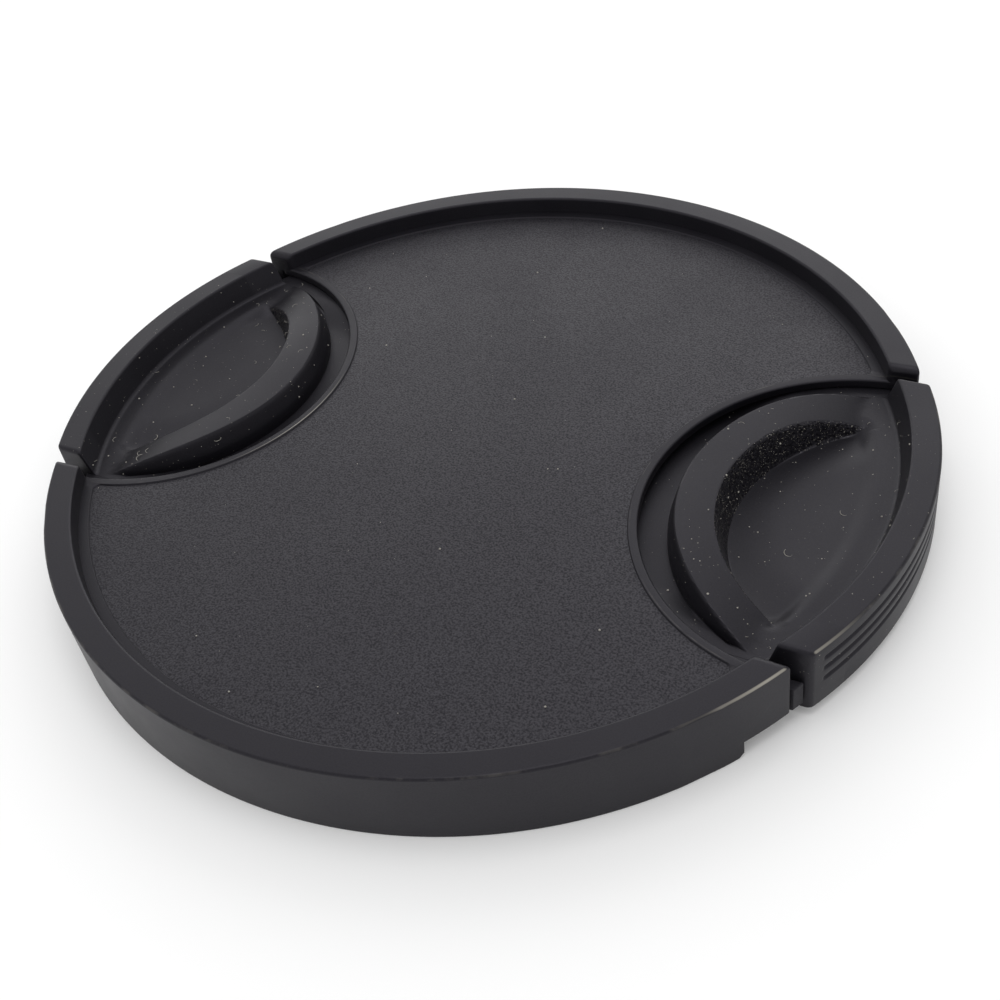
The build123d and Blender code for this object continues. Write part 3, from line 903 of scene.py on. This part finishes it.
def edge_wear_and_highlight(tree, place, centre, radius, top, rubbed):
    """Share of a pale line on the outer top edge of a rim about an upright axis at centre: wear on the rims
    of cover and latches, and a painted highlight along the window border.

    It is a thin line, bright near each given place and faint elsewhere.
    """
    parts = add_node(tree, "ShaderNodeSeparateXYZ", {"Vector": place}).outputs
    side = add_node(tree, "ShaderNodeMath", {0: parts["X"]}, operation="ABSOLUTE")
    along = add_node(tree, "ShaderNodeMath", {0: side, 1: centre * MM}, operation="SUBTRACT")
    flat = add_node(tree, "ShaderNodeCombineXYZ", {"X": along, "Y": parts["Y"]})
    reach = add_node(tree, "ShaderNodeVectorMath", {0: flat}, operation="LENGTH")
    outward = add_node(tree, "ShaderNodeMath", {0: reach, 1: parts["Z"]}, operation="ADD")
    core = (radius + top - WEAR_AND_HIGHLIGHT_CORE) * MM
    off = add_node(tree, "ShaderNodeMath", {0: outward, 1: core}, operation="SUBTRACT")
    off = add_node(tree, "ShaderNodeMath", {0: off}, operation="ABSOLUTE")
    edge = add_node(tree, "ShaderNodeMapRange", {
        "Value": off, "From Max": WEAR_AND_HIGHLIGHT_WIDTH * MM, "To Min": 1.0, "To Max": 0.0,
    }, interpolation_type="SMOOTHSTEP")
    wear_and_highlight_noise = add_node(tree, "ShaderNodeTexNoise", {
        "Vector": place, "Scale": per_metre(WEAR_AND_HIGHLIGHT_PATCH), "Detail": 4.0, "Roughness": 0.6,
    })
    amount = add_node(tree, "ShaderNodeMapRange", {
        "Value": wear_and_highlight_noise, "From Min": 0.5, "From Max": 0.8, "To Max": WEAR_AND_HIGHLIGHT_FAINT,
    })
    for spot in rubbed:
        gap = add_node(tree, "ShaderNodeVectorMath", {
            0: place, 1: Vector((*spot, top)) * MM,
        }, operation="DISTANCE")
        bright = add_node(tree, "ShaderNodeMapRange", {
            "Value": gap, "From Max": WEAR_AND_HIGHLIGHT_REACH * MM, "To Min": 1.0, "To Max": 0.0,
        })
        amount = add_node(tree, "ShaderNodeMath", {0: amount, 1: bright}, operation="MAXIMUM")
    return add_node(tree, "ShaderNodeMath", {0: edge, 1: amount}, operation="MULTIPLY")


def flecks(tree, place, size, least):
    """Share of small pale marks of a size in millimetres; least is the noise level where they begin."""
    level = add_node(tree, "ShaderNodeTexNoise", {
        "Vector": place, "Scale": per_metre(size), "Detail": 1.0, "Roughness": 0.5,
    })
    return add_node(tree, "ShaderNodeMapRange", {
        "Value": level, "From Min": least, "From Max": least + 0.06,
    })


def moulded_abs(name, colours, skin, roughness, rims=(), marks=None):
    """Black ABS as it leaves the mould: its grain breaks up the light, with painted shade in the grain's
    pits and a painted highlight on its peaks, and handling leaves duller patches.

    rims holds the centre, radius, height and bright places of each rim with a pale edge line, which is wear
    on the rims and a painted highlight along the window border, and marks the size and least level of its
    pale flecks.
    """
    material, tree = new_material(name)
    place = add_node(tree, "ShaderNodeTexCoord").outputs["Object"]
    grain = add_node(tree, "ShaderNodeTexNoise", {
        "Vector": place, "Scale": per_metre(skin.width), "Detail": 2.0, "Roughness": 0.55,
    })
    patches = add_node(tree, "ShaderNodeTexNoise", {
        "Vector": place, "Scale": per_metre(HANDLING_PATCH), "Detail": 4.0, "Roughness": 0.6,
    })
    gloss = add_node(tree, "ShaderNodeMapRange", {
        "Value": patches, "From Min": 0.3, "From Max": 0.7,
        "To Min": roughness - 0.05, "To Max": roughness + 0.05,
    })
    bump = add_node(tree, "ShaderNodeBump", {"Height": grain, "Strength": 1.0, "Distance": skin.depth * MM})
    # Specular level follows the grain's height: painted shade in its pits and a painted highlight on its
    # peaks
    sheen = add_node(tree, "ShaderNodeMapRange", {
        "Value": grain, "From Min": 0.36, "From Max": 0.6,
        "To Min": skin.shine * (1 - skin.hollows), "To Max": skin.shine * (1 + skin.hollows / 3),
    })
    dark = (*[c * 0.85 for c in colours.plastic], 1.0)
    pale = (*[c * 1.15 for c in colours.plastic], 1.0)
    tint = add_node(tree, "ShaderNodeMix", {"Factor": patches, "A": dark, "B": pale}, data_type="RGBA")
    shares = [flecks(tree, place, *marks)] if marks else []
    shares += [edge_wear_and_highlight(tree, place, *rim) for rim in rims]
    # Pale colour of the lines and flecks: wear and dust, and also the painted highlight and painted glints
    pale_wear_and_highlight = (*colours.pale_wear_and_highlight, 1.0)
    for share in shares:
        tint = add_node(tree, "ShaderNodeMix", {"Factor": share, "A": tint, "B": pale_wear_and_highlight}, data_type="RGBA")
    shader = add_node(tree, "ShaderNodeBsdfPrincipled", {
        "Base Color": tint, "Roughness": gloss, "IOR": 1.53, "Specular IOR Level": sheen,
        "Specular Tint": (*colours.sheen, 1.0), "Normal": bump,
    })
    add_node(tree, "ShaderNodeOutputMaterial", {"Surface": shader})
    return material


def spring_steel(colours):
    """Drawn spring steel: bright, with lines round the wire, drawn coarser than real so that they show."""
    material, tree = new_material("drawn spring steel")
    place = add_node(tree, "ShaderNodeTexCoord").outputs["Object"]
    lines = add_node(tree, "ShaderNodeTexNoise", {
        "Vector": place, "Scale": per_metre(STEEL_LINES), "Detail": 2.0,
    })
    gloss = add_node(tree, "ShaderNodeMapRange", {"Value": lines, "To Min": 0.25, "To Max": 0.45})
    shader = add_node(tree, "ShaderNodeBsdfPrincipled", {
        "Base Color": (*colours.steel, 1.0), "Metallic": 1.0, "Roughness": gloss,
    })
    add_node(tree, "ShaderNodeOutputMaterial", {"Surface": shader})
    return material


def dust_flecks(colours):
    """Household dust: matt pale specks, each a little different in shade."""
    material, tree = new_material("household dust")
    place = add_node(tree, "ShaderNodeTexCoord").outputs["Object"]
    shade = add_node(tree, "ShaderNodeTexNoise", {"Vector": place, "Scale": per_metre(DUST_PATCH)})
    dark = (*[c * 0.35 for c in colours.dust], 1.0)
    pale = (*colours.dust, 1.0)
    tint = add_node(tree, "ShaderNodeMix", {"Factor": shade, "A": dark, "B": pale}, data_type="RGBA")
    shader = add_node(tree, "ShaderNodeBsdfPrincipled", {"Base Color": tint, "Roughness": 0.9})
    add_node(tree, "ShaderNodeOutputMaterial", {"Surface": shader})
    return material


def table_top(colours):
    """Pale table top that the camera sees as white, while it keeps the cap's soft shadow."""
    material, tree = new_material("pale table top")
    path = add_node(tree, "ShaderNodeLightPath").outputs
    seen = path["Is Camera Ray"]
    for ray in ("Is Glossy Ray", "Is Transmission Ray"):
        seen = add_node(tree, "ShaderNodeMath", {0: seen, 1: path[ray]}, operation="MAXIMUM")
    glow = add_node(tree, "ShaderNodeMath", {0: seen, 1: FLOOR_GLOW}, operation="MULTIPLY")
    matt = add_node(tree, "ShaderNodeBsdfDiffuse", {"Color": (*colours.floor, 1.0)})
    lit = add_node(tree, "ShaderNodeEmission", {"Strength": glow})
    both = add_node(tree, "ShaderNodeAddShader", {0: matt, 1: lit})
    add_node(tree, "ShaderNodeOutputMaterial", {"Surface": both})
    return material


def finish(name):
    """Finish of that name, made once."""
    made = bpy.data.materials.get(name)
    if made:
        return made
    cap = bpy.context.scene.lens_cap
    grain = cap.sizes.grain_size / MM
    cover_rims = (
        (0.0, OUTER_RADIUS, RIM_TOP, COVER_RUBS),
        # The window border's pale line is a painted highlight
        (WINDOW_CENTRE, WINDOW_RADIUS + WINDOW_BORDER, BORDER_TOP, WINDOW_HIGHLIGHT_SPOTS),
    )
    latch_rims = ((LATCH_CENTRE, LATCH_RADIUS, RIM_TOP, LATCH_RUBS),)
    plastics = {
        # Fine spark-eroded grain: dull, with tiny glints, painted shade in its pits and painted highlights
        # on its peaks
        "spark-grained ABS": (Skin(grain, 0.04, 0.55, 0.4), 0.45),
        # Satin: an even soft sheen, with a grain drawn coarser than real so that it shows, slight painted
        # shade in its pits, pale wear along the rims and a painted highlight along the window border
        "satin moulded ABS": (Skin(0.15, 0.004, 0.1, 0.29), 0.42, cover_rims),
        # The same satin, with pale flecks from handling
        "satin latch ABS": (Skin(0.15, 0.004, 0.1, 0.29), 0.45, latch_rims, (0.22, 0.765)),
        # Coarse spark-eroded grain: deep painted shade in its pits and painted highlights on its peaks,
        # with pale flecks that are partly caught dust and partly painted glints
        "coarse spark ABS": (Skin(0.28, 0.1, 0.8, 0.4), 0.38, (), (0.13, 0.67)),
        # Matt back: an even dark grey that hardly shines, with a little painted shade in its pits
        "matt back ABS": (Skin(0.2, 0.01, 0.2, 0.3), 0.55),
    }
    if name in plastics:
        return moulded_abs(name, cap.colours, *plastics[name])
    return {"drawn spring steel": spring_steel, "household dust": dust_flecks}[name](cap.colours)


# Node trees for what repeats

def new_tree(name, inputs):
    """Empty geometry tree with named inputs, and its input sockets."""
    tree = bpy.data.node_groups.new(name, "GeometryNodeTree")
    for key, kind in inputs.items():
        tree.interface.new_socket(key, in_out="INPUT", socket_type="NodeSocket" + kind)
    tree.interface.new_socket("Geometry", in_out="OUTPUT", socket_type="NodeSocketGeometry")
    return tree, add_node(tree, "NodeGroupInput").outputs


def end_tree(tree, shape, material):
    """Ends a tree with real geometry that has its material."""
    real = add_node(tree, "GeometryNodeRealizeInstances", {"Geometry": shape})
    coated = add_node(tree, "GeometryNodeSetMaterial", {"Geometry": real, "Material": material})
    add_node(tree, "NodeGroupOutput", {"Geometry": coated})
    return tree


def grow(name, tree, values, mesh):
    """Piece that a tree makes on a mesh from its named inputs, kept as a plain mesh."""
    piece = add_object(name, mesh)
    step = piece.modifiers.new(name, "NODES")
    step.node_group = tree
    for item in tree.interface.items_tree:
        if item.in_out == "INPUT" and item.name in values:
            step[item.identifier] = values[item.name]
    bake(piece)
    return piece


def tube(tree, curve, radius, sides):
    """Closed tube of a radius round a curve."""
    ring = add_node(tree, "GeometryNodeCurvePrimitiveCircle", {"Resolution": sides, "Radius": radius})
    inputs = {"Curve": curve, "Profile Curve": ring, "Fill Caps": True}
    return add_node(tree, "GeometryNodeCurveToMesh", inputs)


def coil_tree():
    """Tree for a compression spring along X, with its turns drawn together at both ends."""
    tree, given = new_tree("coil spring", {
        "Start": "Vector", "Length": "Float", "Coil Radius": "Float", "Wire Radius": "Float",
        "Turns": "Float", "Closing": "Float", "Material": "Material",
    })
    coil = add_node(tree, "GeometryNodeCurveSpiral", {
        "Resolution": 36, "Rotations": given["Turns"], "Start Radius": given["Coil Radius"],
        "End Radius": given["Coil Radius"], "Height": given["Length"],
    })
    share = add_node(tree, "GeometryNodeSplineParameter")
    angle = add_node(tree, "ShaderNodeMath", {0: share, 1: 2 * pi}, operation="MULTIPLY")
    wave = add_node(tree, "ShaderNodeMath", {0: angle}, operation="SINE")
    pull = add_node(tree, "ShaderNodeMath", {0: given["Closing"], 1: -1 / (2 * pi)}, operation="MULTIPLY")
    pull = add_node(tree, "ShaderNodeMath", {0: pull, 1: given["Length"]}, operation="MULTIPLY")
    slide = add_node(tree, "ShaderNodeMath", {0: wave, 1: pull}, operation="MULTIPLY")
    offset = add_node(tree, "ShaderNodeCombineXYZ", {"Z": slide})
    closed = add_node(tree, "GeometryNodeSetPosition", {"Geometry": coil, "Offset": offset})
    wire = tube(tree, closed, given["Wire Radius"], 10)
    smooth = add_node(tree, "GeometryNodeSetShadeSmooth", {"Geometry": wire})
    laid = add_node(tree, "GeometryNodeTransform", {
        "Geometry": smooth, "Translation": given["Start"], "Rotation": (0, pi / 2, 0),
    })
    return end_tree(tree, laid, given["Material"])


def dust_tree():
    """Tree that scatters specks and a few curled fibres over the upper faces of a piece."""
    tree, given = new_tree("settled dust", {
        "Geometry": "Geometry", "Density": "Float", "Fibre Density": "Float", "Size": "Float",
        "Fibre Radius": "Float", "Fibre Wire": "Float", "Lowest": "Float", "Highest": "Float",
        "Centre": "Vector", "Reach": "Float", "Seed": "Int", "Material": "Material",
    })
    normal = add_node(tree, "GeometryNodeInputNormal")
    upright = add_node(tree, "ShaderNodeSeparateXYZ", {"Vector": normal}).outputs["Z"]
    position = add_node(tree, "GeometryNodeInputPosition")
    height = add_node(tree, "ShaderNodeSeparateXYZ", {"Vector": position}).outputs["Z"]
    plan = add_node(tree, "ShaderNodeVectorMath", {0: position, 1: (1.0, 1.0, 0.0)}, operation="MULTIPLY")
    away = add_node(tree, "ShaderNodeVectorMath", {0: plan, 1: given["Centre"]}, operation="DISTANCE")
    tests = (
        ("GREATER_THAN", height, given["Lowest"]), ("LESS_THAN", height, given["Highest"]),
        ("LESS_THAN", away, given["Reach"]),
    )
    chosen = add_node(tree, "ShaderNodeMath", {0: upright, 1: DUST_SLOPE}, operation="GREATER_THAN")
    for operation, value, limit in tests:
        passed = add_node(tree, "ShaderNodeMath", {0: value, 1: limit}, operation=operation)
        chosen = add_node(tree, "ShaderNodeMath", {0: chosen, 1: passed}, operation="MULTIPLY")
    specks = add_node(tree, "GeometryNodeMeshIcoSphere", {"Radius": given["Size"], "Subdivisions": 1})
    curl = add_node(tree, "GeometryNodeCurveArc", {
        "Resolution": 14, "Radius": given["Fibre Radius"], "Sweep Angle": 2.6,
    })
    fibre = tube(tree, curl, given["Fibre Wire"], 4)
    kinds = (
        (given["Density"], specks, 0.25, (2 * pi, 2 * pi, 2 * pi)),
        (given["Fibre Density"], fibre, 0.5, (0.0, 0.0, 2 * pi)),
    )
    joined = add_node(tree, "GeometryNodeJoinGeometry")
    for step, (density, shape, least, turns) in enumerate(kinds):
        seed = add_node(tree, "ShaderNodeMath", {0: given["Seed"], 1: step}, operation="ADD")
        points = add_node(tree, "GeometryNodeDistributePointsOnFaces", {
            "Mesh": given["Geometry"], "Selection": chosen, "Density": density, "Seed": seed,
        })
        chance = add_node(tree, "FunctionNodeRandomValue", {"Seed": seed})
        rare = add_node(tree, "ShaderNodeMath", {0: chance, 1: 4.0}, operation="POWER")
        size = add_node(tree, "ShaderNodeMapRange", {"Value": rare, "To Min": least})
        spin = {"Max": turns, "Seed": seed}
        turn = add_node(tree, "FunctionNodeRandomValue", spin, data_type="FLOAT_VECTOR")
        copies = add_node(tree, "GeometryNodeInstanceOnPoints", {
            "Points": points, "Instance": shape, "Rotation": turn, "Scale": size,
        })
        tree.links.new(copies.outputs["Instances"], joined.inputs["Geometry"])
    return end_tree(tree, joined, given["Material"])


class LensCapSettings(bpy.types.PropertyGroup):
    """Settings of the whole cap."""

    sizes: PointerProperty(type=CapSizes)
    colours: PointerProperty(type=CapColours)


class LENSCAP_OT_front_cover(bpy.types.Operator):
    """Build the moulded front cover with its rim and grained panel"""

    bl_idname = "lens_cap.front_cover"
    bl_label = "Front Cover"

    def execute(self, context):
        cover = make_front_cover(context.scene.lens_cap.sizes)
        cover.name = "cover_moulding"

        def choose(centre, normal):
            grained = normal.z > 0.99 and abs(centre.z - PANEL_TOP) < LAP
            return 1 if grained else 0

        paint(cover, [finish("satin moulded ABS"), finish("spark-grained ABS")], choose)
        settle(cover, "cap_body", "cover", "front_cover")
        return {"FINISHED"}


class LENSCAP_OT_latches(bpy.types.Operator):
    """Build the two sliding latches"""

    bl_idname = "lens_cap.latches"
    bl_label = "Latches"

    def execute(self, context):
        right = make_latch(context.scene.lens_cap.sizes)
        right.name = "right_latch_moulding"

        def choose(centre, normal):
            from_grip = hypot(centre.x - GRIP_CENTRE, centre.y)
            inside = hypot(centre.x - LATCH_CENTRE, centre.y) < LATCH_FOOT and centre.x < GRIP_CENTRE
            near_grip = inside and GRIP_FOOT - COARSE_BELOW < from_grip < GRIP_RADIUS + COARSE_ABOVE
            steep = normal.x > 0.2 and 0.1 < normal.z < 0.85
            return 1 if near_grip and steep and centre.z > POCKET_LOW - POCKET_DIP else 0

        paint(right, [finish("satin latch ABS"), finish("coarse spark ABS")], choose)
        left = mirrored(right, "left_latch_moulding", (1, 0, 0))
        settle(right, "right_latch", "latch", "latch_right")
        settle(left, "left_latch", "latch", "latch_left")
        return {"FINISHED"}


class LENSCAP_OT_back_plate(bpy.types.Operator):
    """Build the back plate with its thread ring"""

    bl_idname = "lens_cap.back_plate"
    bl_label = "Back Plate"

    def execute(self, context):
        back = make_back_plate()
        back.name = "back_moulding"
        paint(back, [finish("matt back ABS")], lambda centre, normal: 0)
        settle(back, "cap_body", "back", "back_plate")
        return {"FINISHED"}


class LENSCAP_OT_springs(bpy.types.Operator):
    """Build the four coil springs behind the panel"""

    bl_idname = "lens_cap.springs"
    bl_label = "Springs"

    def execute(self, context):
        sizes = context.scene.lens_cap.sizes
        tree = coil_tree()
        for end, side in product(("right", "left"), ("near", "far")):
            node = f"spring_{end}_{side}"
            low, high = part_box(node)
            middle = (low + high) / 2
            length = high.x - low.x
            radius = sizes.wire / 2
            values = {
                "Start": (low.x + radius, middle.y, middle.z), "Length": length - sizes.wire,
                "Coil Radius": (high.z - low.z) / 2 - radius, "Wire Radius": radius,
                "Turns": float(sizes.spring_turns), "Closing": SPRING_CLOSING,
                "Material": finish("drawn spring steel"),
            }
            spring = grow(f"{node}_coil", tree, values, bpy.data.meshes.new(node))
            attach(spring, "cap_body")
            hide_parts(node)
            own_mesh(spring)
        return {"FINISHED"}


class LENSCAP_OT_dust(bpy.types.Operator):
    """Scatter dust and lint over the cover and the latches"""

    bl_idname = "lens_cap.dust"
    bl_label = "Dust"

    def execute(self, context):
        sizes = context.scene.lens_cap.sizes
        tree = dust_tree()
        floor, opening = POCKET_LOW - POCKET_DIP - LAP, WINDOW_RADIUS - WINDOW_EDGE
        hosts = (
            ("cover_moulding", "cap_body", 0.5, 0.02, PANEL_TOP - LAP, 0.0, BORDER_RADIUS),
            ("right_latch_moulding", "right_latch", 4.6, 1.6, floor, WINDOW_CENTRE, opening),
            ("left_latch_moulding", "left_latch", 5.4, 5.0, floor, -WINDOW_CENTRE, opening),
        )
        per_square_metre = 1e4
        for seed, (host, body, share, fibres, lowest, centre, reach) in enumerate(hosts):
            values = {
                "Density": sizes.dust_density * share * per_square_metre,
                "Fibre Density": fibres * per_square_metre, "Size": sizes.dust_size,
                "Fibre Radius": FIBRE_RADIUS * MM, "Fibre Wire": FIBRE_WIRE * MM,
                "Lowest": lowest * MM, "Highest": (RIM_TOP - DUST_BELOW_RIM) * MM,
                "Centre": (centre * MM, 0.0, 0.0), "Reach": reach * MM,
                "Seed": seed + 5, "Material": finish("household dust"),
            }
            dust = grow(f"{body}_dust", tree, values, bpy.data.objects[host].data.copy())
            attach(dust, body)
        return {"FINISHED"}


class LENSCAP_OT_stage(bpy.types.Operator):
    """Set up the table, the studio light and the camera"""

    bl_idname = "lens_cap.stage"
    bl_label = "Stage"

    def execute(self, context):
        scene = context.scene
        data = bpy.data.meshes.new("table")
        reach = 3.0
        corners = [(-reach, -reach, 0), (reach, -reach, 0), (reach, reach, 0), (-reach, reach, 0)]
        data.from_pydata(corners, [], [(0, 1, 2, 3)])
        data.materials.append(table_top(scene.lens_cap.colours))
        table = add_object("table", data)

        add_camera(scene)
        add_lights(scene)
        scene.view_settings.view_transform = "Standard"
        return {"FINISHED"}


def add_camera(scene):
    """Camera at the photograph's place and angle."""
    azimuth, elevation = radians(CAMERA_AZIMUTH), radians(CAMERA_ELEVATION)
    ahead = Vector((sin(azimuth) * cos(elevation), cos(azimuth) * cos(elevation), -sin(elevation)))
    level = Vector((cos(azimuth), -sin(azimuth), 0))
    upright = level.cross(ahead)
    roll = radians(CAMERA_ROLL)
    right = level * cos(roll) - upright * sin(roll)
    up = level * sin(roll) + upright * cos(roll)
    data = bpy.data.cameras.new("camera")
    data.lens = CAMERA_LENS
    data.clip_start = 0.01
    camera = add_object("camera", data)
    turn = Matrix((right, up, -ahead)).transposed().to_4x4()
    camera.matrix_world = Matrix.Translation((CAMERA_AIM - ahead * CAMERA_DISTANCE) * MM) @ turn
    scene.camera = camera


def add_lights(scene):
    """White room with a soft box overhead and others behind and to the left of the cap."""
    boxes = (
        ("overhead_box", (0.02, 0.02, 1.1), (0.7, 0.7), 1.9),
        ("low_back_box", (-0.5, 0.9, 0.22), (1.0, 0.3), 1.35),
        ("back_box", (-0.1, 0.85, 0.6), (0.5, 0.7), 1.0),
        ("back_left_box", (-0.6, 0.7, 0.6), (0.5, 0.7), 0.6),
        ("left_box", (-0.9, 0.15, 0.55), (0.5, 0.6), 0.5),
    )
    for name, place, size, radiance in boxes:
        data = bpy.data.lights.new(name, "AREA")
        data.shape = "RECTANGLE"
        data.size, data.size_y = size
        data.energy = radiance * pi * size[0] * size[1]
        lamp = add_object(name, data)
        lamp.location = place
        lamp.rotation_mode = "QUATERNION"
        lamp.rotation_quaternion = (-Vector(place)).to_track_quat("-Z", "Y")
    world = bpy.data.worlds.new("white room")
    world.use_nodes = True
    tree = world.node_tree
    tree.nodes.clear()
    room = add_node(tree, "ShaderNodeBackground", {"Strength": ROOM_LIGHT})
    add_node(tree, "ShaderNodeOutputWorld", {"Surface": room})
    scene.world = world


class LENSCAP_PT_panel(bpy.types.Panel):
    """Lists the cap's pieces and settings"""

    bl_idname = "LENSCAP_PT_panel"
    bl_label = "Lens Cap"
    bl_space_type = "VIEW_3D"
    bl_region_type = "UI"
    bl_category = "Lens Cap"

    def draw(self, context):
        cap = context.scene.lens_cap
        for group in (cap.sizes, cap.colours):
            for key in group.bl_rna.properties.keys():
                if key not in ("rna_type", "name"):
                    self.layout.prop(group, key)
        for operator in OPERATORS:
            self.layout.operator(operator.bl_idname)


OPERATORS = (
    LENSCAP_OT_stage, LENSCAP_OT_front_cover, LENSCAP_OT_latches, LENSCAP_OT_back_plate,
    LENSCAP_OT_springs, LENSCAP_OT_dust,
)
CLASSES = (CapSizes, CapColours, LensCapSettings, *OPERATORS, LENSCAP_PT_panel)


def register():
    """Registers the classes and the scene's settings."""
    for each in CLASSES:
        bpy.utils.register_class(each)
    bpy.types.Scene.lens_cap = PointerProperty(type=LensCapSettings)


def unregister():
    """Removes the settings and the classes."""
    del bpy.types.Scene.lens_cap
    for each in reversed(CLASSES):
        bpy.utils.unregister_class(each)


def main():
    """Builds every piece."""
    register()
    bpy.ops.lens_cap.stage()
    bpy.ops.lens_cap.front_cover()
    bpy.ops.lens_cap.latches()
    bpy.ops.lens_cap.back_plate()
    bpy.ops.lens_cap.springs()
    bpy.ops.lens_cap.dust()


if __name__ == "__main__":
    main()
